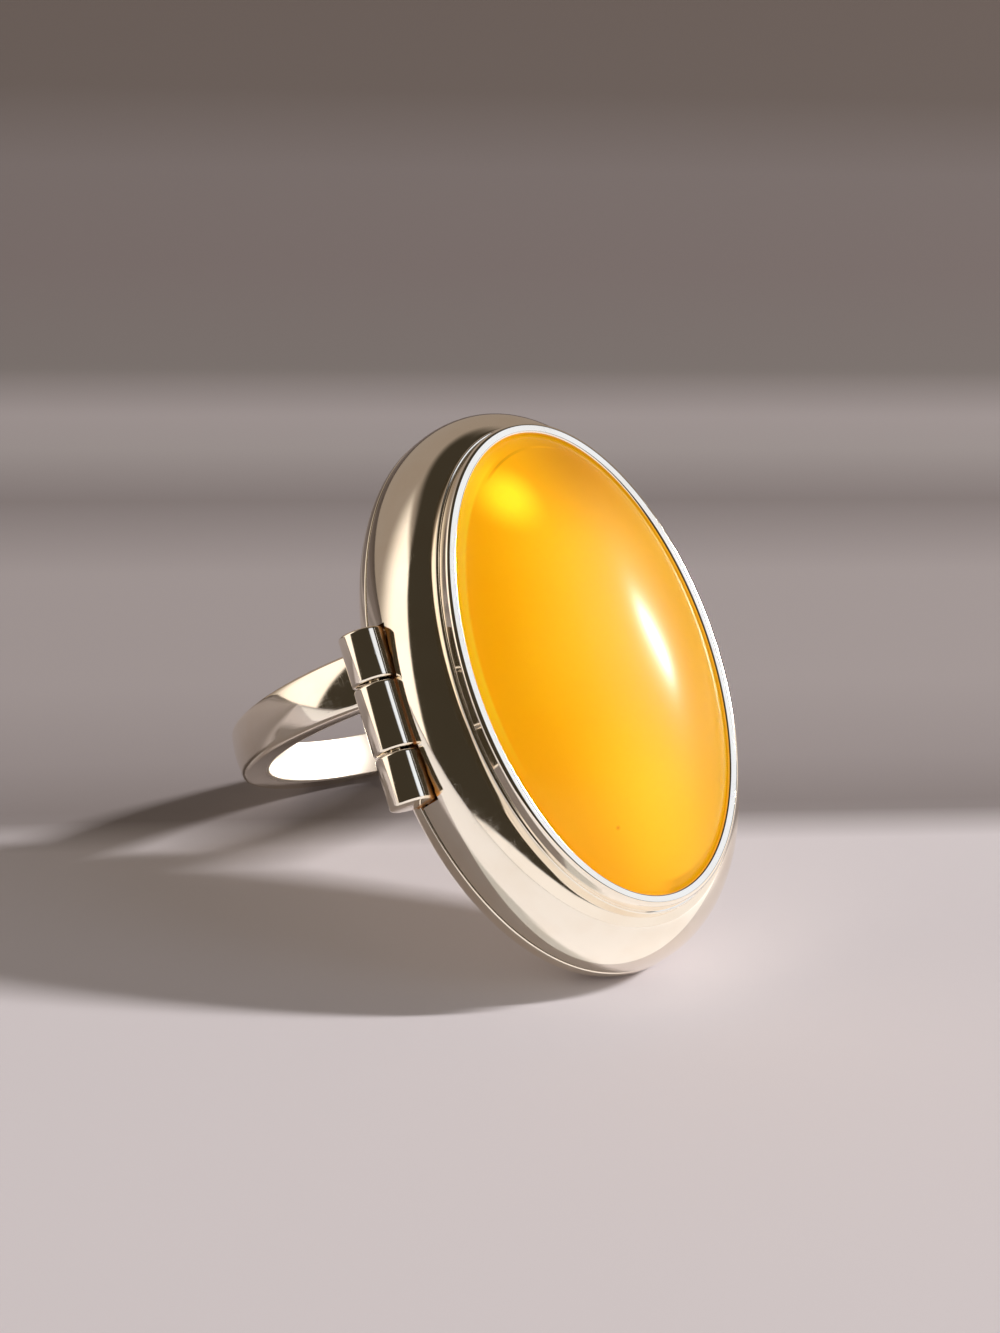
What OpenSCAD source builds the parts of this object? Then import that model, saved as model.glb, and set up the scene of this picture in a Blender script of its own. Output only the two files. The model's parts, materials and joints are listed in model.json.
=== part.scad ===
// Locket ring: a shallow oval case on a plain band, closed by a domed lid that
// carries an oval cabochon in a plain bezel. Millimetres.
//
// The modules model the ring in its own axes: X across the finger, away from the
// hinge; Y along the finger, towards the head's upper tip; Z out of the face.
// Z = 0 is the seam between case and lid. placed() then lays the ring on the
// floor as it stands by itself, on the case's lower tip and the band's flat back.

/* [Stone] */
// Length of the cabochon along the finger
stone_l = 24.8; // [23:0.1:27]
// Width of the cabochon across the finger
stone_w = 14.1; // [13:0.1:15.5]
// How far the crown's curve, carried on down, would pass outside the girdle
crown_out = 0.1; // [0.05:0.01:0.2]
// Height of the cabochon's crown above the top of the bezel
crown_h = 2.5; // [1.5:0.1:3.5]

/* [Bezel] */
// Thickness of the bezel wall
bezel_t = 0.3; // [0.25:0.05:0.5]
// Height of the bezel above the lid's crest
bezel_h = 1.55; // [1.4:0.05:2]
// How far the bezel's lip reaches over the stone
lip = 0.25; // [0.15:0.05:0.4]
// Thickness of the lip
lip_t = 0.25; // [0.2:0.05:0.35]
// Rounding of the rim's outer edge
rim_r = 0.2; // [0.1:0.05:0.25]
// How far the bezel's foot stands out from its wall
foot_t = 0.15; // [0.1:0.05:0.25]
// Height of the bezel's foot
foot_h = 0.65; // [0.4:0.05:0.9]

/* [Head] */
// How far the head's outline stands outside the stone's girdle
flank = 2.35; // [2.1:0.05:2.8]
// Height of the lid's dome above the seam
dome_h = 3.45; // [3:0.05:4]
// Lean of the dome's lower flank from upright, in degrees
dome_lean = 10; // [6:1:14]
// Radius of the shoulder, where the dome's flank turns into its crest
dome_r = 1.9; // [1.7:0.05:2]
// Depth of the case below the seam
case_h = 1.9; // [1.7:0.05:2.3]
// Rounding of the case's lower edge
case_r = 1.5; // [1.2:0.05:1.6]
// Thickness of the case's floor
floor_t = 0.8; // [0.7:0.05:1]
// Thickness of the case and lid walls
wall = 1; // [0.8:0.05:1.1]

/* [Hinge] */
// Radius of the hinge knuckles
knuckle_r = 1.15; // [1.05:0.05:1.25]
// Length of the middle knuckle, on the lid
mid_l = 3.5; // [3:0.1:4]
// Length of each outer knuckle, on the case
outer_l = 2.65; // [2.2:0.05:3]
// How far the hinge axis stands outside the head's outline
hinge_out = 0.35; // [0.25:0.05:0.5]
// Height of the hinge axis above the seam
hinge_up = 0.6; // [0.5:0.05:0.7]
// Rounding of the knuckles' ends
knuckle_edge = 0.15; // [0.1:0.05:0.3]
// Radius of the hinge pin
pin_r = 0.4; // [0.3:0.05:0.5]
// How far the pin's ends lie inside the outer knuckles' ends
pin_inset = 0.4; // [0.2:0.1:0.8]
// Opening angle of the lid, 0 when closed
lid_open = 0; // [0:5:100]

/* [Band] */
// Inner diameter of the band
finger_d = 18.2; // [17:0.1:20]
// Thickness of the band
band_t = 1.5; // [1.3:0.1:1.8]
// Width of the band at its back
back_w = 2.2; // [2:0.1:2.8]
// Width of the band where it meets the case
shoulder_w = 3; // [2.8:0.1:4]
// Radius of the band's crowned outside
crown_r = 6; // [5:0.5:12]
// Depth of the flat ground across the back of the band
back_flat = 0.4; // [0.3:0.05:0.5]
// Metal between the case's underside and the finger hole
over_t = 0.2; // [0.1:0.05:0.5]
// How far the band sits from the head's middle, towards the upper tip
band_y = 3.5; // [0:0.1:4]

/* [Fits] */
// Seam between the closed lid and the case
seam = 0.12; // [0.1:0.01:0.2]
// Clearance around and between the hinge knuckles
knuckle_gap = 0.12; // [0.1:0.01:0.2]
// Radial clearance of the hinge pin
pin_gap = 0.04; // [0.02:0.01:0.06]
// Clearance between the stone and its setting
stone_gap = 0.05; // [0.03:0.01:0.08]

/* [Hidden] */
$fn = 64;

// Girdle outline: a four-centre oval, its arcs meeting on the sides of 3-4-5 triangles
half_l = stone_l / 2;
half_w = stone_w / 2;
side_r = 2 * half_l - half_w;
tip_r = (3 * half_w - half_l) / 2;
side_x = side_r - half_w;
tip_y = half_l - tip_r;
// Block that fills the middle of a swept oval, and its overlap with the sweeps
core_over = 0.5;
core_size = [2 * (half_w - tip_r + core_over), 2 * (tip_y + core_over)];
reach = 2 * half_l;
// Far corner of the plane where a tip arc and a side arc join
join = [4 * reach, tip_y + 3 * reach];

// Heights
lid_z = seam / 2;
crest_z = lid_z + dome_h;
rim_z = crest_z + bezel_h;
case_top = -seam / 2;
case_floor = -case_h + floor_t;
stone_z = crest_z + stone_gap;
seat_z = rim_z - lip_t;
// Centre of the shoulder arc, which the leaning flank meets at a tangent
dome_x = flank - dome_h * tan(dome_lean) - dome_r * (1 - sin(dome_lean)) / cos(dome_lean);
dome_z = crest_z - dome_r;
dome_steps = 10;

// Bezel, as offsets from the girdle
bezel_in = stone_gap;
bezel_out = stone_gap + bezel_t;

// Crown: an ellipsoid that passes the lip's inner edge at its underside
crown_w = half_w + crown_out;
crown_l = crown_w * (half_l - lip) / (half_w - lip);
crown_top = rim_z + crown_h;
crown_rz = (crown_top - seat_z) / (1 - sqrt(1 - pow((half_w - lip) / crown_w, 2)));

// Hinge
hinge_x = -(half_w + flank + hinge_out);
outer_y = (mid_l + outer_l) / 2 + knuckle_gap;
pin_l = mid_l + 2 * (outer_l + knuckle_gap - pin_inset);

// Band
finger_r = finger_d / 2;
band_r = finger_r + band_t;
band_z = -(case_h + over_t + finger_r);
back_z = band_z - band_r + back_flat;
shoulder_z = -case_h + floor_t / 2;

// Rest: the floor is tangent to the case's lower edge at the lower tip and
// passes through the near edge of the band's flat back
tip_py = -(half_l + flank - case_r);
tip_pz = -(case_h - case_r);
back_y = band_y - back_w / 2;
rest_a = atan2(tip_pz - back_z, back_y - tip_py) - asin(case_r / norm([back_y - tip_py, back_z - tip_pz]));
lift = -(back_y * sin(rest_a) + back_z * cos(rest_a));
// Middle of the standing ring's box: the bezel's rim in front, the band's back behind
front_y = -(half_l + bezel_out - rim_r) * cos(rest_a) - (rim_z - rim_r) * sin(rest_a) - rim_r;
rear_y = (band_y + back_w / 2) * cos(rest_a) - back_z * sin(rest_a);
mid_y = (front_y + rear_y) / 2;
mid_x = (band_r + hinge_x - knuckle_r) / 2;

// Turns a half section about an upright axis, with x = 0 of the section at radius r
module turned(r) {
    rotate_extrude() intersection() {
        translate([r, 0]) children();
        translate([r - tip_r, -reach]) square(2 * reach);
    }
}

// Upright prism on a plan, to keep one stretch of a turned solid
module stretch(plan) {
    translate([0, 0, -reach]) linear_extrude(height = 2 * reach) polygon(plan);
}

// Solid oval, flat between z0 and z1 in its middle, from a half section: x out
// from the girdle, y up. Neighbouring stretches share the corners of their plans.
module oval_solid(z0, z1) {
    for (turn = [0, 180]) rotate([0, 0, turn]) {
        intersection() {
            translate([0, tip_y, 0]) turned(tip_r) children();
            stretch([[0, tip_y], [join.x, join.y], [-join.x, join.y]]);
        }
        intersection() {
            translate([-side_x, 0, 0]) turned(side_r) children();
            stretch([[-side_x, 0], [0, -tip_y], [join.x, -join.y], [join.x, join.y], [0, tip_y]]);
        }
    }
    translate([-core_size.x / 2, -core_size.y / 2, z0]) cube([core_size.x, core_size.y, z1 - z0]);
}

// Straight oval block, its outline o outside the girdle
module oval_block(o, z0, z1) {
    oval_solid(z0, z1) translate([-reach, z0]) square([reach + o, z1 - z0]);
}

// Half section of the dome, o inside its outer face, from the seam's level up
module dome_section(o) {
    shoulder = [for (i = [0:dome_steps]) let (a = dome_lean + (90 - dome_lean) * i / dome_steps)
        [dome_x + (dome_r - o) * cos(a), dome_z + (dome_r - o) * sin(a)]];
    foot = [[-reach, lid_z], [flank - o / cos(dome_lean), lid_z]];
    polygon(concat(foot, shoulder, [[-reach, dome_z + dome_r - o]]));
}

module bezel_section() {
    translate([-reach, crest_z - wall]) square([reach + bezel_out + foot_t, wall + foot_h]);
    translate([-reach, crest_z]) square([reach + bezel_out, bezel_h - rim_r]);
    translate([-reach, crest_z]) square([reach + bezel_out - rim_r, bezel_h]);
    translate([bezel_out - rim_r, rim_z - rim_r]) circle(r = rim_r, $fn = 32);
}

module case_section() {
    translate([-reach, -case_h + case_r]) square([reach + flank, case_top + case_h - case_r]);
    translate([-reach, -case_h]) square([reach + flank - case_r, case_h + case_top]);
    intersection() {
        translate([flank - case_r, -case_h + case_r]) circle(r = case_r);
        translate([-reach, -case_h - case_r]) square([2 * reach, 2 * case_r]);
    }
}

// One knuckle, centred at y, with rounded ends
module knuckle(y, len, r) {
    translate([hinge_x, y, hinge_up]) rotate([90, 0, 0]) rotate_extrude() {
        translate([0, -len / 2]) square([r - knuckle_edge, len]);
        translate([0, -len / 2 + knuckle_edge]) square([r, len - 2 * knuckle_edge]);
        for (side = [-1, 1]) translate([r - knuckle_edge, side * (len / 2 - knuckle_edge)])
            circle(r = knuckle_edge, $fn = 32);
    }
}

// Plain round bar along the hinge axis
module hinge_bar(y, len, r) {
    translate([hinge_x, y, hinge_up]) rotate([90, 0, 0]) cylinder(r = r, h = len, center = true);
}

module band() {
    intersection() {
        translate([0, band_y, band_z]) rotate([90, 0, 0]) rotate_extrude() intersection() {
            translate([finger_r, -shoulder_w]) square([band_t, 2 * shoulder_w]);
            translate([band_r - crown_r, 0]) circle(r = crown_r);
        }
        translate([-2 * band_r, band_y, 0]) rotate([90, 0, 90]) linear_extrude(height = 4 * band_r)
            polygon([[-back_w / 2, back_z], [back_w / 2, back_z],
                     [shoulder_w / 2, shoulder_z], [-shoulder_w / 2, shoulder_z]]);
    }
}

module placed() {
    translate([-mid_x, -mid_y, lift]) rotate([rest_a, 0, 0]) children();
}

module opened() {
    translate([hinge_x, 0, hinge_up]) rotate([0, -lid_open, 0]) translate([-hinge_x, 0, -hinge_up]) children();
}

// Case, band and the two outer knuckles, soldered into one solid
module base() {
    color([0.86, 0.82, 0.76]) placed() difference() {
        union() {
            difference() {
                oval_solid(-case_h, case_top) case_section();
                oval_block(flank - wall, case_floor, lid_z);
                hinge_bar(0, mid_l + 2 * knuckle_gap, knuckle_r + knuckle_gap);
            }
            band();
            for (side = [-1, 1]) knuckle(side * outer_y, outer_l, knuckle_r);
        }
        hinge_bar(0, pin_l + 2 * pin_gap, pin_r + pin_gap);
    }
}

// Domed lid with the bezel and the middle knuckle, soldered into one solid
module lid() {
    color([0.9, 0.86, 0.8]) placed() opened() difference() {
        union() {
            difference() {
                oval_solid(lid_z, rim_z) {
                    dome_section(0);
                    bezel_section();
                }
                oval_solid(lid_z, crest_z - wall) dome_section(wall);
                oval_block(bezel_in, crest_z, seat_z);
                oval_block(-lip, crest_z, rim_z + lip_t);
                for (side = [-1, 1])
                    hinge_bar(side * outer_y, outer_l + 2 * knuckle_gap, knuckle_r + knuckle_gap);
            }
            knuckle(0, mid_l, knuckle_r);
        }
        hinge_bar(0, mid_l + 2 * knuckle_gap, pin_r + pin_gap);
    }
}

// Oval cabochon: a straight girdle, and a crown that clears the lip
module stone() {
    color([0.98, 0.68, 0.1]) placed() opened() intersection() {
        union() {
            oval_block(0, stone_z, seat_z - stone_gap);
            oval_block(-lip - stone_gap, stone_z, crown_top + crown_h);
        }
        translate([0, 0, crown_top - crown_rz]) scale([crown_w, crown_l, crown_rz]) sphere(r = 1);
    }
}

module hinge_pin() {
    color([0.75, 0.73, 0.7]) placed() hinge_bar(0, pin_l, pin_r);
}

base();
lid();
stone();
hinge_pin();
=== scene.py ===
# Locket ring with an oval cabochon. It stands by itself on the lower tip of its
# case and the back of its band. Every piece is shaped in the ring's own axes, in
# millimetres: x across the finger, y along it, z out of the face, and z = 0 at
# the seam between case and lid. makePiece() then lays it in its place.
import json
import math
import bpy
import bmesh
from mathutils import Matrix, Vector


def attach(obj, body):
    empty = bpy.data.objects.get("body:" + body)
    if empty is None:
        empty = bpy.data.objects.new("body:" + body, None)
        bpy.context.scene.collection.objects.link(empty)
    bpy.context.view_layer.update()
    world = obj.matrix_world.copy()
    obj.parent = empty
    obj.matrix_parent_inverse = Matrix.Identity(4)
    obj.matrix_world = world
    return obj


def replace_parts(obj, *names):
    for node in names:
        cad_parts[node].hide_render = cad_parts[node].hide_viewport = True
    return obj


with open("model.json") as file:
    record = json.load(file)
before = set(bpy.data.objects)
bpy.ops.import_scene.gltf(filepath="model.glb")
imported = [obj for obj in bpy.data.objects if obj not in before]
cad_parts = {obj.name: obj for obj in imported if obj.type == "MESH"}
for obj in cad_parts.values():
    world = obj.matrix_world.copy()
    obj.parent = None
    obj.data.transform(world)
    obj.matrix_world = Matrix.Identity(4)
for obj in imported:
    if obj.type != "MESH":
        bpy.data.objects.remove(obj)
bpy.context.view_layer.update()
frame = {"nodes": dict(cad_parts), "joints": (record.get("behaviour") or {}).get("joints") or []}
print("frame loaded:", sorted(frame["nodes"]))

# sizes that several pieces share
hinge = {"x": -9.75, "up": 0.6, "radius": 1.15, "gap": 0.12, "edge": 0.15, "bore": 0.44,
         "middle": 3.5, "outer": 2.65, "boreEnd": 0.36, "steps": 72,
         # what a hollow for a knuckle may cut: beyond this x, below this height, with end walls this thick
         "cutBeyond": -4, "cutBelow": 2.6, "cutWall": 0.012}
girdle = {"halfWidth": 7.05, "halfLength": 12.4, "spinRadius": 20, "steps": 400}
fingerHole = {"axisUp": -11.2, "radius": 9.1}
within = {"merge": 0.0005, "sliver": 0.0003, "cut": 0.0001, "side": 0.002}
sharpAbove = 32

# where the ring stands: its own axes follow from the lid's hinge in the frame
lidHinge = frame["joints"][0]
lean = math.atan2(-lidHinge["axis"][2], -lidHinge["axis"][1])
ringToWorld = (Matrix.Translation(lidHinge["pos_m"]) @ Matrix.Rotation(lean, 4, "X") @ Matrix.Scale(0.001, 4)
               @ Matrix.Translation((-hinge["x"], 0, -hinge["up"])))
ringOrigin = ringToWorld @ Vector((0, 0, 0))


def allOf(bm):
    return bm.verts[:] + bm.edges[:] + bm.faces[:]


def drawOutline(bm, corners, closed=False, segments=6):
    # wire through (across, up, rounding) corners in the plane y = 0
    made = [bm.verts.new((x, 0, z)) for x, z, _ in corners]
    for one, other in zip(made, made[1:] + made[:1] if closed else made[1:]):
        bm.edges.new((one, other))
    for vert, (_, _, rounding) in zip(made, corners):
        if rounding:
            bmesh.ops.bevel(bm, geom=[vert], offset=rounding, offset_type="OFFSET", segments=segments,
                            affect="VERTICES", profile=0.5, material=-1)


def turn(bm, axis, steps):
    # a full turn about an axis through the origin
    bmesh.ops.spin(bm, geom=bm.verts[:] + bm.edges[:], cent=(0, 0, 0), axis=axis, angle=math.tau,
                   steps=steps, use_merge=True, use_duplicate=False)
    bmesh.ops.remove_doubles(bm, verts=bm.verts[:], dist=within["merge"])


def turnOval(bm):
    # turns an outline whose x is the distance outside the girdle, and lays it round the oval
    bmesh.ops.translate(bm, verts=bm.verts[:], vec=(girdle["spinRadius"], 0, 0))
    turn(bm, (0, 0, 1), girdle["steps"])
    wide, long = girdle["halfWidth"], girdle["halfLength"]
    for vert in bm.verts:
        angle = math.atan2(vert.co.y, vert.co.x)
        outside = math.hypot(vert.co.x, vert.co.y) - girdle["spinRadius"]
        outward = Vector((long * math.cos(angle), wide * math.sin(angle))).normalized()
        vert.co.x = wide * math.cos(angle) + outside * outward.x
        vert.co.y = long * math.sin(angle) + outside * outward.y


def cutForKnuckle(bm, low, high):
    # hollows the hinge side between two heights along y, round a knuckle and its clearance
    wall = hinge["cutWall"]
    for place in (low - wall, low, high, high + wall):
        side = [part for part in allOf(bm) if isHingeSide(part)]
        bmesh.ops.bisect_plane(bm, geom=side, plane_co=(0, place, 0), plane_no=(0, 1, 0), dist=within["cut"])
    reach = hinge["radius"] + hinge["gap"]
    for vert in bm.verts:
        depth = reach ** 2 - (vert.co.z - hinge["up"]) ** 2
        if vert.co.x < 0 and low - within["side"] < vert.co.y < high + within["side"] and depth > 0:
            vert.co.x = max(vert.co.x, hinge["x"] + math.sqrt(depth))


def isHingeSide(part):
    # on the flank or the case beside the hinge; the crest above stays whole
    verts = [part] if isinstance(part, bmesh.types.BMVert) else part.verts
    beyond = max(vert.co.x for vert in verts) < hinge["cutBeyond"]
    return beyond and max(vert.co.z for vert in verts) < hinge["cutBelow"]


def closeUp(bm):
    bmesh.ops.holes_fill(bm, edges=[edge for edge in bm.edges if edge.is_boundary], sides=0)


def makePiece(name, bm, body, material):
    # cleans the mesh, lays it in its place and gives it its body and material
    bmesh.ops.remove_doubles(bm, verts=bm.verts[:], dist=within["merge"])
    bmesh.ops.dissolve_degenerate(bm, edges=bm.edges[:], dist=within["sliver"])
    bmesh.ops.recalc_face_normals(bm, faces=bm.faces[:])
    openEdges = sum(1 for edge in bm.edges if len(edge.link_faces) != 2)
    bmesh.ops.transform(bm, matrix=ringToWorld, verts=bm.verts[:])
    mesh = bpy.data.meshes.new(name)
    bm.to_mesh(mesh)
    bm.free()
    for face in mesh.polygons:
        face.use_smooth = True
    mesh.set_sharp_from_angle(angle=math.radians(sharpAbove))
    mesh.materials.append(material)
    piece = bpy.data.objects.new(name, mesh)
    bpy.context.scene.collection.objects.link(piece)
    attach(piece, body)
    print(f"{name}: {len(mesh.polygons)} faces, {openEdges} open edges")
    return piece


def newMaterial(name):
    material = bpy.data.materials.new(name)
    material.use_nodes = True
    return material, material.node_tree.nodes, material.node_tree.links


def srgb(red, green, blue):
    def linear(level):
        level = level / 255
        return level / 12.92 if level <= 0.04045 else ((level + 0.055) / 1.055) ** 2.4
    return (linear(red), linear(green), linear(blue), 1)


def ringAxes(nodes, links):
    # millimetres in the ring's own axes, from the object's coordinates
    place = nodes.new("ShaderNodeTexCoord")
    turned = nodes.new("ShaderNodeMapping")
    turned.vector_type = "TEXTURE"
    turned.inputs["Location"].default_value = ringOrigin
    turned.inputs["Rotation"].default_value = (lean, 0, 0)
    turned.inputs["Scale"].default_value = (0.001, 0.001, 0.001)
    links.new(place.outputs["Object"], turned.inputs["Vector"])
    return turned.outputs["Vector"]


def noise(nodes, links, vector, scale, detail, roughness=0.5):
    made = nodes.new("ShaderNodeTexNoise")
    made.inputs["Scale"].default_value = scale
    made.inputs["Detail"].default_value = detail
    made.inputs["Roughness"].default_value = roughness
    links.new(vector, made.inputs["Vector"])
    return made.outputs["Fac"]


def remap(nodes, links, value, low, high, toLow, toHigh):
    made = nodes.new("ShaderNodeMapRange")
    for label, number in (("From Min", low), ("From Max", high), ("To Min", toLow), ("To Max", toHigh)):
        made.inputs[label].default_value = number
    links.new(value, made.inputs["Value"])
    return made.outputs["Result"]


def mathNode(nodes, links, operation, value, *others):
    made = nodes.new("ShaderNodeMath")
    made.operation = operation
    links.new(value, made.inputs[0])
    for place, other in enumerate(others, 1):
        if isinstance(other, (int, float)):
            made.inputs[place].default_value = other
        else:
            links.new(other, made.inputs[place])
    return made.outputs["Value"]


def smooth(nodes, links, value, low, high):
    # 0 at low, 1 at high, eased
    made = nodes.new("ShaderNodeMapRange")
    made.interpolation_type = "SMOOTHSTEP"
    made.inputs["From Min"].default_value = low
    made.inputs["From Max"].default_value = high
    links.new(value, made.inputs["Value"])
    return made.outputs["Result"]


def mixValue(nodes, links, share, start, end):
    # from start, a socket, to the number end
    made = nodes.new("ShaderNodeMix")
    links.new(share, made.inputs["Factor"])
    links.new(start, made.inputs["A"])
    made.inputs["B"].default_value = end
    return made.outputs["Result"]


def mixColour(nodes, links, share, start, end):
    made = nodes.new("ShaderNodeMix")
    made.data_type = "RGBA"
    links.new(share, made.inputs["Factor"])
    links.new(start, made.inputs[6])
    made.inputs[7].default_value = end
    return made.outputs[2]


def ramp(nodes, links, value, stops):
    made = nodes.new("ShaderNodeValToRGB")
    points = made.color_ramp.elements
    while len(points) < len(stops):
        points.new(0.5)
    for point, (position, colour) in zip(points, stops):
        point.position = position
        point.color = colour
    links.new(value, made.inputs["Fac"])
    return made.outputs["Color"]


silverLook = {"colour": (0.97, 0.90, 0.785, 1), "worn": (0.91, 0.81, 0.67, 1),
              # the knuckle roots' amber colour and its roughness: a painted reflection of the stone's amber
              # light
              "paintedAmberReflection": (0.66, 0.32, 0.09, 1), "cloudScale": 0.35, "cloudStops": (0.45, 0.9),
              "roughness": 0.065, "polishScale": 1.3, "polishGrain": 0.6, "polishEdge": (0.35, 0.75),
              "polishSpread": (0.8, 1.5), "hairlineRoughness": 0.14, "amberReflectionRoughness": 0.50,
              # beyond the finger hole's radius, where the duller inside ends
              "insideRoughness": 0.42, "insideEdge": (0.1, 0.25),
              "dentScale": 0.6, "hairlineDepth": -0.12, "wear": 0.00001, "bumpStrength": 0.5}


def polishedSilver():
    # polished outside, duller where the finger rubs the band, with hairlines and faint dents
    material, nodes, links = newMaterial("silver")
    shader = nodes["Principled BSDF"]
    shader.inputs["Metallic"].default_value = 1
    ring = ringAxes(nodes, links)
    clouds = noise(nodes, links, ring, silverLook["cloudScale"], 3)
    clean, dull = silverLook["cloudStops"]
    colour = ramp(nodes, links, clouds, [(clean, silverLook["colour"]), (dull, silverLook["worn"])])
    # painted reflection: the knuckle roots get an amber metal colour, standing in for the stone's amber light
    # reflected there
    roots = knuckleRoots(nodes, links, ring)
    colour = mixColour(nodes, links, roots, colour, silverLook["paintedAmberReflection"])
    links.new(colour, shader.inputs["Base Color"])
    least, most = [silverLook["roughness"] * share for share in silverLook["polishSpread"]]
    polished = noise(nodes, links, ring, silverLook["polishScale"], 4, silverLook["polishGrain"])
    polished = remap(nodes, links, polished, *silverLook["polishEdge"], least, most)
    hairlines = scratches(nodes, links, ring)
    marked = mathNode(nodes, links, "MULTIPLY_ADD", hairlines, silverLook["hairlineRoughness"], polished)
    marked = mixValue(nodes, links, roots, marked, silverLook["amberReflectionRoughness"])
    rough = mixValue(nodes, links, fingerSide(nodes, links, ring), marked, silverLook["insideRoughness"])
    links.new(rough, shader.inputs["Roughness"])
    dents = noise(nodes, links, ring, silverLook["dentScale"], 1)
    height = mathNode(nodes, links, "MULTIPLY_ADD", hairlines, silverLook["hairlineDepth"], dents)
    bump = nodes.new("ShaderNodeBump")
    bump.inputs["Distance"].default_value = silverLook["wear"]
    bump.inputs["Strength"].default_value = silverLook["bumpStrength"]
    links.new(height, bump.inputs["Height"])
    links.new(bump.outputs["Normal"], shader.inputs["Normal"])
    return material


# hairlines: each set's turn and stretch, the noise level that they follow and how thin they are
scratchLook = {"sets": [(0.4, (0.25, 3.0, 0.25)), (2.0, (3.4, 0.3, 0.3))], "scale": 1.6, "level": 0.56,
               "thin": 0.0022, "patchScale": 0.5, "patchEdge": (0.5, 0.62)}


def scratches(nodes, links, ring):
    # thin lines where two stretched noises cross a level, kept to a few patches
    lines = None
    for turnedBy, stretch in scratchLook["sets"]:
        laid = nodes.new("ShaderNodeMapping")
        laid.inputs["Rotation"].default_value = (turnedBy, turnedBy / 2, turnedBy)
        laid.inputs["Scale"].default_value = stretch
        links.new(ring, laid.inputs["Vector"])
        value = noise(nodes, links, laid.outputs["Vector"], scratchLook["scale"], 1)
        offLine = mathNode(nodes, links, "SUBTRACT", value, scratchLook["level"])
        offLine = mathNode(nodes, links, "ABSOLUTE", offLine)
        line = remap(nodes, links, offLine, 0, scratchLook["thin"], 1, 0)
        lines = line if lines is None else mathNode(nodes, links, "MAXIMUM", lines, line)
    patches = noise(nodes, links, ring, scratchLook["patchScale"], 2)
    patches = remap(nodes, links, patches, *scratchLook["patchEdge"], 0, 1)
    return mathNode(nodes, links, "MULTIPLY", lines, patches)


# where the painted amber reflection starts and is full: along y, inwards from the hinge axis, and out from it
rootsLook = {"along": (4.6, 4.5), "inwards": (0.30, 0.65), "fromAxis": (1.3, 1.2)}


def knuckleRoots(nodes, links, ring):
    # 1 where the knuckles dip in beside the head, where an amber reflection is painted into the metal's
    # colour
    split = nodes.new("ShaderNodeSeparateXYZ")
    links.new(ring, split.inputs["Vector"])
    fromMiddle = mathNode(nodes, links, "ABSOLUTE", split.outputs["Y"])
    besideHinge = smooth(nodes, links, fromMiddle, *rootsLook["along"])
    start, full = rootsLook["inwards"]
    inwards = smooth(nodes, links, split.outputs["X"], hinge["x"] + start, hinge["x"] + full)
    flat = nodes.new("ShaderNodeVectorMath")
    flat.operation = "MULTIPLY"
    flat.inputs[1].default_value = (1, 0, 1)
    links.new(ring, flat.inputs[0])
    fromAxis = nodes.new("ShaderNodeVectorMath")
    fromAxis.operation = "DISTANCE"
    links.new(flat.outputs["Vector"], fromAxis.inputs[0])
    fromAxis.inputs[1].default_value = (hinge["x"], 0, hinge["up"])
    onKnuckle = smooth(nodes, links, fromAxis.outputs["Value"], *rootsLook["fromAxis"])
    inRoot = mathNode(nodes, links, "MULTIPLY", besideHinge, inwards)
    return mathNode(nodes, links, "MULTIPLY", inRoot, onKnuckle)


def fingerSide(nodes, links, ring):
    # 1 inside the finger hole, 0 elsewhere
    placed = nodes.new("ShaderNodeVectorMath")
    placed.operation = "MULTIPLY_ADD"
    placed.inputs[1].default_value = (1, 0, 1)
    placed.inputs[2].default_value = (0, 0, -fingerHole["axisUp"])
    links.new(ring, placed.inputs[0])
    length = nodes.new("ShaderNodeVectorMath")
    length.operation = "LENGTH"
    links.new(placed.outputs["Vector"], length.inputs[0])
    full, end = [fingerHole["radius"] + beyond for beyond in silverLook["insideEdge"]]
    return remap(nodes, links, length.outputs["Value"], full, end, 1, 0)


silver = polishedSilver()
print("silver ready")

lid = {"edgeUp": 0.06, "flank": 2.35, "crestIn": 0.147, "height": 3.45, "fullness": 2.2, "wall": 1.0,
       "plateIn": 2, "curveSteps": 44, "innerSteps": 16, "edgeRound": 0.1}


def domeLine(inside, steps):
    # the flank's line from the seam up to the crest, as (outside, up)
    wide = lid["flank"] - lid["crestIn"] - inside
    tall = lid["height"] - inside
    power = 2 / lid["fullness"]
    return [(lid["crestIn"] + wide * math.cos(step / steps * math.pi / 2) ** power,
             lid["edgeUp"] + tall * math.sin(step / steps * math.pi / 2) ** power)
            for step in range(1, steps)]


def lidDome():
    bm = bmesh.new()
    outer = [(x, z, 0) for x, z in domeLine(0, lid["curveSteps"])]
    inner = [(x, z, 0) for x, z in domeLine(lid["wall"], lid["innerSteps"])]
    top = lid["edgeUp"] + lid["height"]
    plateEdge = lid["crestIn"] - lid["plateIn"]
    seamEdge = [(lid["flank"] - lid["wall"], lid["edgeUp"], 0),
                (lid["flank"], lid["edgeUp"], lid["edgeRound"])]
    corners = ([(plateEdge, top - lid["wall"], 0), (lid["crestIn"], top - lid["wall"], 0)] + inner[::-1]
               + seamEdge + outer + [(lid["crestIn"], top, 0), (plateEdge, top, 0)])
    drawOutline(bm, corners)
    turnOval(bm)
    near = hinge["middle"] / 2
    cutForKnuckle(bm, near, near + 2 * hinge["gap"] + hinge["outer"])
    cutForKnuckle(bm, -near - 2 * hinge["gap"] - hinge["outer"], -near)
    closeUp(bm)
    return makePiece("lidDome", bm, "lid", silver)


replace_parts(lidDome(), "lid")

bezel = {"rim": 5.06, "crest": 3.51, "outer": 0.35, "foot": 0.15, "footUp": 0.65, "lip": 0.25,
         "lipDeep": 0.25, "inner": 0.05, "sink": 0.4,
         "rimRound": 0.2, "lipRound": 0.14, "footRound": 0.07, "stepRound": 0.03}


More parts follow.
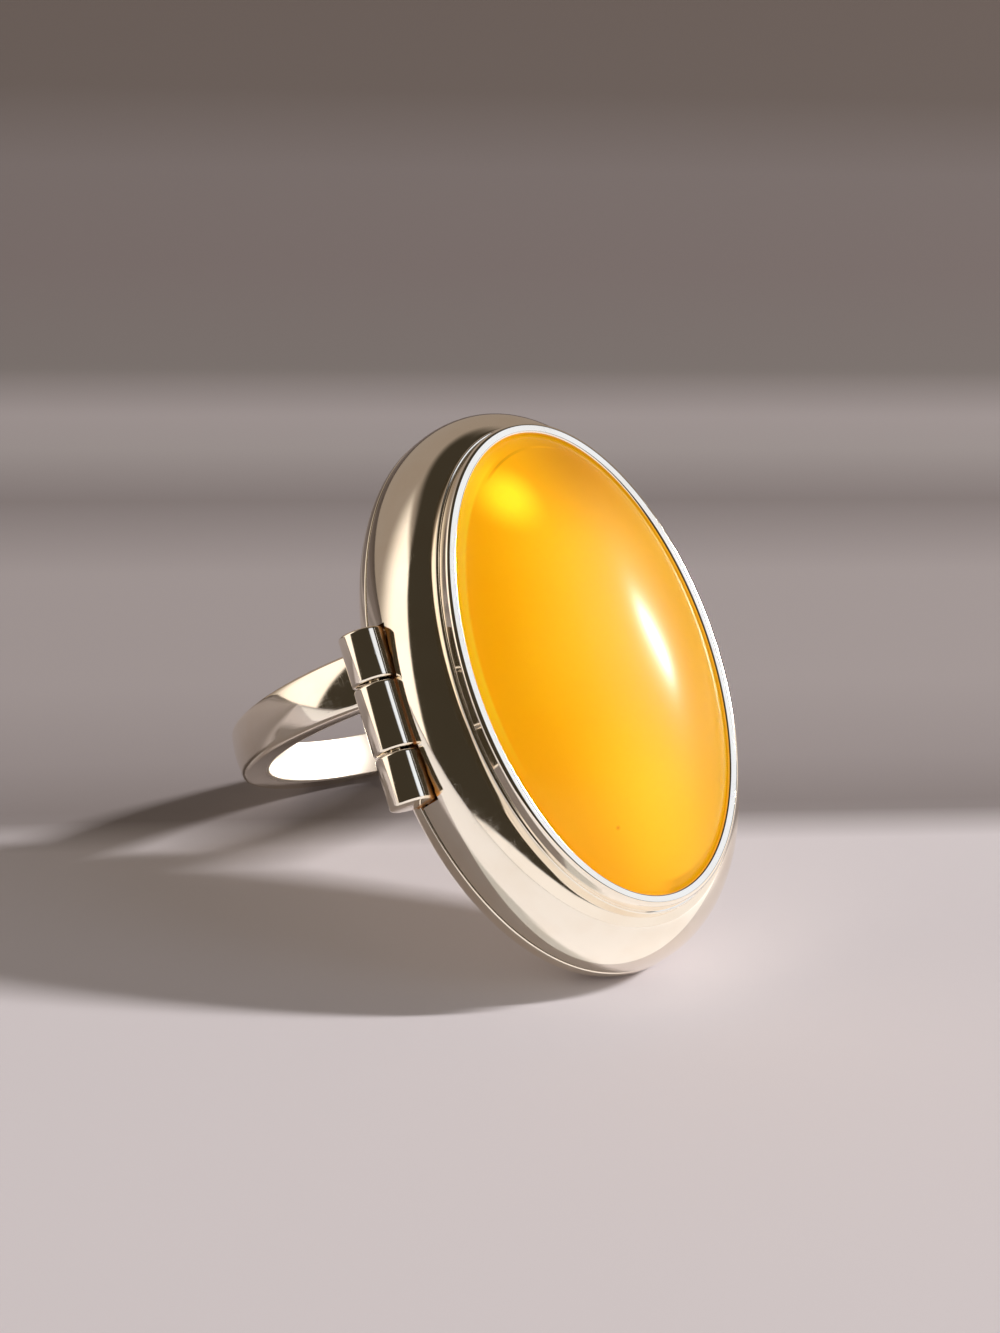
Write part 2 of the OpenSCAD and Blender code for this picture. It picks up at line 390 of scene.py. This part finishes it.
def bezelWall():
    bm = bmesh.new()
    out, rim, footTop = bezel["outer"], bezel["rim"], bezel["crest"] + bezel["footUp"]
    drawOutline(bm, [
        (bezel["inner"], bezel["crest"] - bezel["sink"], 0),
        (out + bezel["foot"], bezel["crest"] - bezel["sink"], 0),
        (out + bezel["foot"], footTop, bezel["footRound"]),
        (out, footTop, bezel["stepRound"]),
        (out, rim, bezel["rimRound"]),
        (-bezel["lip"], rim, bezel["lipRound"]),
        (-bezel["lip"], rim - bezel["lipDeep"], 0),
        (bezel["inner"], rim - bezel["lipDeep"], 0),
    ], closed=True)
    turnOval(bm)
    return makePiece("bezel", bm, "lid", silver)


bezelWall()


def knuckle(name, body, low, high, blindEnd):
    # a length of tube round the hinge axis, from low to high along y; the bore stops short of blindEnd
    bm = bmesh.new()
    radius, edge = hinge["radius"], hinge["edge"]
    tall = high - low
    if blindEnd == 0:
        corners = [(hinge["bore"], 0, 0), (radius, 0, edge), (radius, tall, edge), (hinge["bore"], tall, 0)]
        drawOutline(bm, corners, closed=True)
    else:
        corners = [(0, tall, 0), (radius, tall, edge), (radius, 0, edge), (hinge["bore"], 0, 0),
                   (hinge["bore"], tall - hinge["boreEnd"], 0), (0, tall - hinge["boreEnd"], 0)]
        drawOutline(bm, corners)
    turn(bm, (0, 0, 1), hinge["steps"])
    # stand it along y, with the closed end outwards
    along = -1 if blindEnd < 0 else 1
    upright = Matrix.Rotation(-along * math.pi / 2, 3, "X")
    bmesh.ops.rotate(bm, verts=bm.verts[:], cent=(0, 0, 0), matrix=upright)
    start = high if along < 0 else low
    bmesh.ops.translate(bm, verts=bm.verts[:], vec=(hinge["x"], start, hinge["up"]))
    return makePiece(name, bm, body, silver)


middleHalf = hinge["middle"] / 2
outerStart = middleHalf + hinge["gap"]
knuckle("lidKnuckle", "lid", -middleHalf, middleHalf, 0)
knuckle("upperKnuckle", "base", outerStart, outerStart + hinge["outer"], 1)
knuckle("lowerKnuckle", "base", -outerStart - hinge["outer"], -outerStart, -1)

case = {"top": -0.06, "deep": -1.9, "flank": 2.35, "round": 1.5, "roundSteps": 18, "sideFrom": -0.3,
        "wall": 1.0, "floorUp": -1.1, "floorIn": 2, "floorRound": 0.1, "edgeRound": 0.08}


def caseShell():
    bm = bmesh.new()
    inside = case["flank"] - case["wall"]
    drawOutline(bm, [
        (-case["floorIn"], case["deep"], 0),
        (case["flank"], case["deep"], case["round"]),
        (case["flank"], case["sideFrom"], 0),
        (case["flank"], case["top"], case["edgeRound"]),
        (inside, case["top"], 0),
        (inside, case["floorUp"], case["floorRound"]),
        (-case["floorIn"], case["floorUp"], 0),
    ], segments=case["roundSteps"])
    turnOval(bm)
    reach = middleHalf + hinge["gap"]
    cutForKnuckle(bm, -reach, reach)
    closeUp(bm)
    return makePiece("caseShell", bm, "base", silver)


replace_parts(caseShell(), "base")

band = {"middle": 3.5, "outer": 10.6, "crown": 6.0, "shoulder": 3.0, "back": 2.2, "shoulderUp": -1.5,
        "backUp": -21.4, "edge": 0.22, "innerEdge": 0.12, "crownSteps": 16, "steps": 288}


def bandHoop():
    bm = bmesh.new()
    half = band["shoulder"] / 2
    inner, axisUp = fingerHole["radius"], fingerHole["axisUp"]
    crownMiddle = band["outer"] - band["crown"]

    def crownAt(across):
        return crownMiddle + math.sqrt(band["crown"] ** 2 - across ** 2)

    steps = band["crownSteps"]
    places = [half * (2 * step / steps - 1) for step in range(steps + 1)]
    corners = [(crownAt(across), across, band["edge"] if abs(across) == half else 0) for across in places]
    corners += [(inner, half, band["innerEdge"]), (inner, -half, band["innerEdge"])]
    drawOutline(bm, corners, closed=True)
    # the outline's height becomes the place along the finger
    bmesh.ops.rotate(bm, verts=bm.verts[:], cent=(0, 0, 0), matrix=Matrix.Rotation(-math.pi / 2, 3, "X"))
    turn(bm, (0, 1, 0), band["steps"])
    bmesh.ops.translate(bm, verts=bm.verts[:], vec=(0, band["middle"], axisUp))
    for vert in bm.verts:
        # narrower towards the back, with the crown's own thickness at each width
        share = (band["shoulderUp"] - vert.co.z) / (band["shoulderUp"] - band["backUp"])
        wide = band["shoulder"] + (band["back"] - band["shoulder"]) * share
        across = vert.co.y - band["middle"]
        narrowed = across * wide / band["shoulder"]
        spoke = Vector((vert.co.x, vert.co.z - axisUp))
        thick = (spoke.length - inner) / (crownAt(across) - inner)
        radius = inner + thick * (crownAt(narrowed) - inner)
        spoke = spoke.normalized() * radius
        vert.co = (spoke.x, band["middle"] + narrowed, axisUp + spoke.y)
    for up, facing in ((band["shoulderUp"], 1), (band["backUp"], -1)):
        bmesh.ops.bisect_plane(bm, geom=allOf(bm), plane_co=(0, 0, up), plane_no=(0, 0, facing),
                               clear_outer=True)
        closeUp(bm)
    return makePiece("band", bm, "base", silver)


bandHoop()
frame["nodes"]["hinge_pin"].data.materials.clear()
frame["nodes"]["hinge_pin"].data.materials.append(silver)
print("metal pieces ready")

stone = {"crownWide": 7.15, "crownHigh": 3.98, "top": 7.56, "bottom": 3.56, "edge": 6.9, "lipEdge": 6.8,
         "underRound": 0.15, "steps": 360, "curveSteps": 56}
stoneColours = {"middle": (0.64, 0.37, 0.026, 1), "side": (0.84, 0.335, 0.006, 1),
                "edge": (0.92, 0.27, 0.0005, 1), "pale": (0.95, 0.60, 0.035, 1),
                "deep": (0.42, 0.12, 0.002, 1), "amber": (0.33, 0.13, 0.012, 1),
                "brown": (0.21, 0.02, 0.0005, 1)}
stoneLook = {"depth": 0.011, "depthByColour": (1.0, 0.70, 0.06), "roughness": 0.20, "ior": 1.54,
             "specular": 0.09, "haze": 0.3, "hazeRoughness": 0.45,
             # how far out the middle, side and edge colours are full, as a share of the oval
             "rings": (0.0, 0.60, 0.97),
             # painted glow, emission standing in for light through the stone: its strength, its colour, and
             # its colour at the bright place
             "paintedGlow": 0.80, "inner": (0.50, 0.312, 0.001, 1), "bright": (0.90, 0.62, 0.006, 1),
             "paintedGlowPlace": ((-2.67, 8.67, 6.1), (1.9, 2.6, 3.0), 0.3),
             # fine pale clouds: the noise's scale, its edge and how strongly they show
             "milk": {"scale": 0.11, "edge": (0.40, 0.70), "most": 0.22},
             # along x, where the painted shade on the side the key light falls on starts and is full
             "paintedShadeSide": (-2.2, 5.0),
             # broad patches: the brown one is painted shade on the key-lit side near the upper tip, the pale
             # one lightens the stone towards the lower tip; place, reach, colour and how strongly it shows
             "clouds": [((2.2, 10.6, 5.8), (6.2, 6.6, 6.0), "brown", 1.0),
                        ((-0.8, -7.2, 6.3), (4.8, 6.4, 6.0), "pale", 0.30)],
             # a strip and a crescent beside the bezel: where they start and are full from the middle out,
             # where along x and y, and their colour
             "rimMarks": [((0.915, 0.93), [("X", -1.5, -3.5), ("Y", -6, -1)], "pale"),
                          ((0.925, 0.945), [("X", -0.6, 0.8), ("Y", -6.8, -8.4)], "deep")],
             "speck": ((-2.36, -8.74, 6.17), (0.16, 0.16, 0.3)),
             # a fine dark arc near the upper tip, a painted refraction of the girdle's edge seen through the
             # stone: how far out, how thin, and where along x and y
             "arc": {"at": 0.905, "edge": (0.009, 0.003), "along": [("Y", 9.6, 10.6), ("X", 1.6, 0.2)]}}


def spot(nodes, links, ring, place, radii, turned=0.0):
    # 1 at a place in the stone, fading to 0 at the radii
    laid = nodes.new("ShaderNodeMapping")
    laid.vector_type = "TEXTURE"
    laid.inputs["Location"].default_value = place
    laid.inputs["Rotation"].default_value = (0, 0, turned)
    laid.inputs["Scale"].default_value = radii
    links.new(ring, laid.inputs["Vector"])
    length = nodes.new("ShaderNodeVectorMath")
    length.operation = "LENGTH"
    links.new(laid.outputs["Vector"], length.inputs[0])
    return smooth(nodes, links, length.outputs["Value"], 1, 0)


def fadeAlong(nodes, links, share, split, along):
    # a share that also fades along x or y, from each start to where it is full
    for axis, start, full in along:
        fade = smooth(nodes, links, split.outputs[axis], start, full)
        share = mathNode(nodes, links, "MULTIPLY", share, fade)
    return share


def ovalRadius(nodes, links, ring):
    # 0 in the middle, 1 at the girdle
    squash = nodes.new("ShaderNodeVectorMath")
    squash.operation = "MULTIPLY"
    squash.inputs[1].default_value = (1 / girdle["halfWidth"], 1 / girdle["halfLength"], 0)
    links.new(ring, squash.inputs[0])
    length = nodes.new("ShaderNodeVectorMath")
    length.operation = "LENGTH"
    links.new(squash.outputs["Vector"], length.inputs[0])
    return length.outputs["Value"]


def stoneColour(nodes, links, ring, paintedGlow):
    # deeper towards the edge, with pale clouds, painted shade on the key-lit side and a painted glow near the
    # upper tip
    fromMiddle = ovalRadius(nodes, links, ring)
    colours = [stoneColours[name] for name in ("middle", "side", "edge")]
    colour = ramp(nodes, links, fromMiddle, list(zip(stoneLook["rings"], colours)))
    milk = stoneLook["milk"]
    clouds = remap(nodes, links, noise(nodes, links, ring, milk["scale"], 1), *milk["edge"], 0, milk["most"])
    colour = mixColour(nodes, links, clouds, colour, stoneColours["pale"])
    split = nodes.new("ShaderNodeSeparateXYZ")
    links.new(ring, split.inputs["Vector"])
    # painted shade: the side the key light falls on is made darker amber
    paintedShadeSide = smooth(nodes, links, split.outputs["X"], *stoneLook["paintedShadeSide"])
    colour = mixColour(nodes, links, paintedShadeSide, colour, stoneColours["amber"])
    for place, radii, colourName, strength in stoneLook["clouds"]:
        share = mathNode(nodes, links, "MULTIPLY", spot(nodes, links, ring, place, radii), strength)
        colour = mixColour(nodes, links, share, colour, stoneColours[colourName])
    # painted glow: the base colour turns pale at the bright place near the upper tip
    colour = mixColour(nodes, links, paintedGlow, colour, stoneColours["pale"])
    for ringEdge, along, colourName in stoneLook["rimMarks"]:
        share = fadeAlong(nodes, links, smooth(nodes, links, fromMiddle, *ringEdge), split, along)
        colour = mixColour(nodes, links, share, colour, stoneColours[colourName])
    speck = spot(nodes, links, ring, *stoneLook["speck"])
    colour = mixColour(nodes, links, speck, colour, stoneColours["deep"])
    # painted refraction: a dark line where the girdle's edge shows through the stone
    arc = stoneLook["arc"]
    offArc = mathNode(nodes, links, "ABSOLUTE", mathNode(nodes, links, "SUBTRACT", fromMiddle, arc["at"]))
    onArc = fadeAlong(nodes, links, smooth(nodes, links, offArc, *arc["edge"]), split, arc["along"])
    return mixColour(nodes, links, onArc, colour, stoneColours["deep"])


def milkyStone():
    # milky and translucent, with a soft haze over its polish and a painted glow, strongest at a bright place
    # near the upper tip
    material, nodes, links = newMaterial("cabochon")
    shader = nodes["Principled BSDF"]
    shader.subsurface_method = "RANDOM_WALK"
    shader.inputs["Subsurface Weight"].default_value = 1
    shader.inputs["Subsurface Radius"].default_value = stoneLook["depthByColour"]
    shader.inputs["Subsurface Scale"].default_value = stoneLook["depth"]
    shader.inputs["Roughness"].default_value = stoneLook["roughness"]
    shader.inputs["IOR"].default_value = stoneLook["ior"]
    shader.inputs["Specular IOR Level"].default_value = stoneLook["specular"]
    shader.inputs["Coat Weight"].default_value = stoneLook["haze"]
    shader.inputs["Coat Roughness"].default_value = stoneLook["hazeRoughness"]
    ring = ringAxes(nodes, links)
    paintedGlow = spot(nodes, links, ring, *stoneLook["paintedGlowPlace"])
    links.new(stoneColour(nodes, links, ring, paintedGlow), shader.inputs["Base Color"])
    # painted glow: the stone emits light though it is no lamp, in the inner colour everywhere and brighter at
    # the glow's place
    inside = ramp(nodes, links, paintedGlow, [(0, stoneLook["inner"]), (1, stoneLook["bright"])])
    links.new(inside, shader.inputs["Emission Color"])
    shader.inputs["Emission Strength"].default_value = stoneLook["paintedGlow"]
    return material


cabochonLook = milkyStone()


def cabochon():
    bm = bmesh.new()
    middle = stone["top"] - stone["crownHigh"]
    reach = math.asin(stone["edge"] / stone["crownWide"])
    curve = [(stone["crownWide"] * math.sin(reach * step / stone["curveSteps"]),
              middle + stone["crownHigh"] * math.cos(reach * step / stone["curveSteps"]), 0)
             for step in range(stone["curveSteps"] + 1)]
    drawOutline(bm, curve + [(stone["edge"], stone["bottom"], stone["underRound"]), (0, stone["bottom"], 0)])
    turn(bm, (0, 0, 1), stone["steps"])
    lipIn = girdle["halfWidth"] - stone["lipEdge"]
    stretch = (girdle["halfLength"] - lipIn) / stone["lipEdge"]
    bmesh.ops.scale(bm, verts=bm.verts[:], vec=(1, stretch, 1))
    return makePiece("cabochon", bm, "lid", cabochonLook)


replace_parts(cabochon(), "stone")
print("stone ready")

view = {"place": (-0.115498, -0.171761, 0.094261), "azimuth": -33.839, "elevation": 21.673, "roll": 4.095,
        "lens": 157.474, "sensor": 36, "nearest": 0.01, "farthest": 10}
stageLook = {"size": 3.0, "roughness": 0.75, "specular": 0.15, "bandsTurned": 12.6, "bands": [
    # millimetres beyond the ring, and the floor's shade there: bands of light and shade as through a window
    (4.6, srgb(217, 212, 216)), (8.6, srgb(140, 133, 133)), (16, srgb(157, 150, 151)),
    (27, srgb(168, 161, 162)), (45, srgb(168, 161, 162)), (58, srgb(136, 129, 129)),
    (68, srgb(160, 154, 154)), (75, srgb(164, 157, 158)), (85, srgb(126, 120, 118)),
    (110, srgb(124, 115, 114)), (137, srgb(124, 116, 115)), (162, srgb(108, 99, 95)),
    (220, srgb(107, 97, 93)), (330, srgb(92, 83, 79))]}


def floorAndBackdrop():
    bm = bmesh.new()
    bmesh.ops.create_grid(bm, x_segments=1, y_segments=1, size=stageLook["size"] / 2)
    mesh = bpy.data.meshes.new("floor")
    bm.to_mesh(mesh)
    bm.free()
    material, nodes, links = newMaterial("floorPaper")
    shader = nodes["Principled BSDF"]
    shader.inputs["Roughness"].default_value = stageLook["roughness"]
    shader.inputs["Specular IOR Level"].default_value = stageLook["specular"]
    place = nodes.new("ShaderNodeTexCoord")
    away = nodes.new("ShaderNodeVectorMath")
    away.operation = "DOT_PRODUCT"
    heading = math.radians(view["azimuth"] + stageLook["bandsTurned"])
    away.inputs[1].default_value = (-math.sin(heading), math.cos(heading), 0)
    links.new(place.outputs["Object"], away.inputs[0])
    near, far = stageLook["bands"][0][0], stageLook["bands"][-1][0]
    share = remap(nodes, links, away.outputs["Value"], near / 1000, far / 1000, 0, 1)
    stops = [((distance - near) / (far - near), shade) for distance, shade in stageLook["bands"]]
    links.new(ramp(nodes, links, share, stops), shader.inputs["Base Color"])
    mesh.materials.append(material)
    floor = bpy.data.objects.new("floor", mesh)
    bpy.context.scene.collection.objects.link(floor)


floorAndBackdrop()

sun = {"towards": (0.806, -0.299, 0.517), "distance": 1.5, "aimUp": 0.012, "width": 0.05, "height": 0.27,
       "watts": 25.0, "colour": (1.0, 0.96, 0.945)}


def softLight(name, look):
    lamp = bpy.data.lights.new(name, "AREA")
    lamp.shape = "RECTANGLE"
    lamp.size, lamp.size_y = look["width"], look["height"]
    lamp.energy = look["watts"]
    lamp.color = look["colour"]
    light = bpy.data.objects.new(name, lamp)
    direction = Vector(look["towards"]).normalized()
    light.location = direction * look["distance"] + Vector((0, 0, look["aimUp"]))
    light.rotation_mode = "QUATERNION"
    light.rotation_quaternion = direction.to_track_quat("Z", "Y")
    bpy.context.scene.collection.objects.link(light)


softLight("key", sun)

# a pale card on the floor in front, which only reflections see
card = {"size": (0.70, 0.40), "edgeAt": (0.0, -0.0142), "up": 0.0002, "turned": -20.35,
        "wattsPerArea": 4, "colour": (0.25, 0.26, 0.25)}


def reflectorCard():
    lamp = bpy.data.lights.new("card", "AREA")
    lamp.shape = "RECTANGLE"
    lamp.size, lamp.size_y = card["size"]
    lamp.energy = card["wattsPerArea"] * card["size"][0] * card["size"][1]
    lamp.color = card["colour"]
    light = bpy.data.objects.new("card", lamp)
    turned = Matrix.Rotation(math.radians(card["turned"]), 4, "Z")
    faceUp = Matrix.Rotation(math.pi, 4, "X")
    light.matrix_world = (Matrix.Translation((*card["edgeAt"], card["up"])) @ turned
                          @ Matrix.Translation((0, -card["size"][1] / 2, 0)) @ faceUp)
    for kind in ("camera", "diffuse", "transmission", "volume_scatter", "shadow"):
        setattr(light, "visible_" + kind, False)
    bpy.context.scene.collection.objects.link(light)


reflectorCard()


def compass(azimuth, elevation):
    # direction from degrees clockwise of +y, and degrees above the floor
    turned, up = math.radians(azimuth), math.radians(elevation)
    return (math.sin(turned) * math.cos(up), math.cos(turned) * math.cos(up), math.sin(up))


# soft panels of a studio: each has a colour, and edges as (direction, where it starts, where it is full)
room = {"shade": (0.045, 0.036, 0.024), "panels": {
    "paleWall": {"colour": (1.10, 1.00, 0.88), "edges": [
        (compass(6, 0), -0.03, 0.03), (compass(-130, 0), -0.12, 0.34), (compass(0, 90), 0.84, 0.71)]},
    "backWall": {"colour": (0.275, 0.225, 0.19), "edges": [
        (compass(5, 0), -0.05, 0.12), (compass(0, 90), 0.96, 0.82)]},
    "frontGlow": {"colour": (0.93, 0.87, 0.84), "edges": [
        (compass(162, -59), 0.0, 0.045)]},
    "skyPanel": {"colour": (0.85, 0.93, 1.08), "edges": [
        (compass(134, 44), 0.955, 0.985)]},
}}


def litRoom():
    world = bpy.data.worlds.new("room")
    world.use_nodes = True
    nodes, links = world.node_tree.nodes, world.node_tree.links
    place = nodes.new("ShaderNodeTexCoord")
    total = None
    for panel in room["panels"].values():
        share = None
        for towards, start, full in panel["edges"]:
            dot = nodes.new("ShaderNodeVectorMath")
            dot.operation = "DOT_PRODUCT"
            dot.inputs[1].default_value = towards
            links.new(place.outputs["Generated"], dot.inputs[0])
            edge = smooth(nodes, links, dot.outputs["Value"], start, full)
            share = edge if share is None else mathNode(nodes, links, "MULTIPLY", share, edge)
        light = nodes.new("ShaderNodeVectorMath")
        light.operation = "SCALE"
        light.inputs[0].default_value = panel["colour"]
        links.new(share, light.inputs["Scale"])
        added = nodes.new("ShaderNodeVectorMath")
        added.operation = "ADD"
        links.new(light.outputs["Vector"], added.inputs[0])
        if total is None:
            added.inputs[1].default_value = room["shade"]
        else:
            links.new(total, added.inputs[1])
        total = added.outputs["Vector"]
    links.new(total, nodes["Background"].inputs["Color"])
    bpy.context.scene.world = world


litRoom()
bpy.context.scene.view_settings.view_transform = "Standard"

lens = bpy.data.cameras.new("camera")
lens.lens = view["lens"]
lens.sensor_fit = "HORIZONTAL"
lens.sensor_width = view["sensor"]
lens.clip_start, lens.clip_end = view["nearest"], view["farthest"]
eye = bpy.data.objects.new("camera", lens)
eye.matrix_world = (Matrix.Translation(view["place"]) @ Matrix.Rotation(math.radians(view["azimuth"]), 4, "Z")
                    @ Matrix.Rotation(math.radians(90 - view["elevation"]), 4, "X")
                    @ Matrix.Rotation(math.radians(view["roll"]), 4, "Z"))
bpy.context.scene.collection.objects.link(eye)
bpy.context.scene.camera = eye
print("stage, light and camera ready")

bpy.context.view_layer.update()
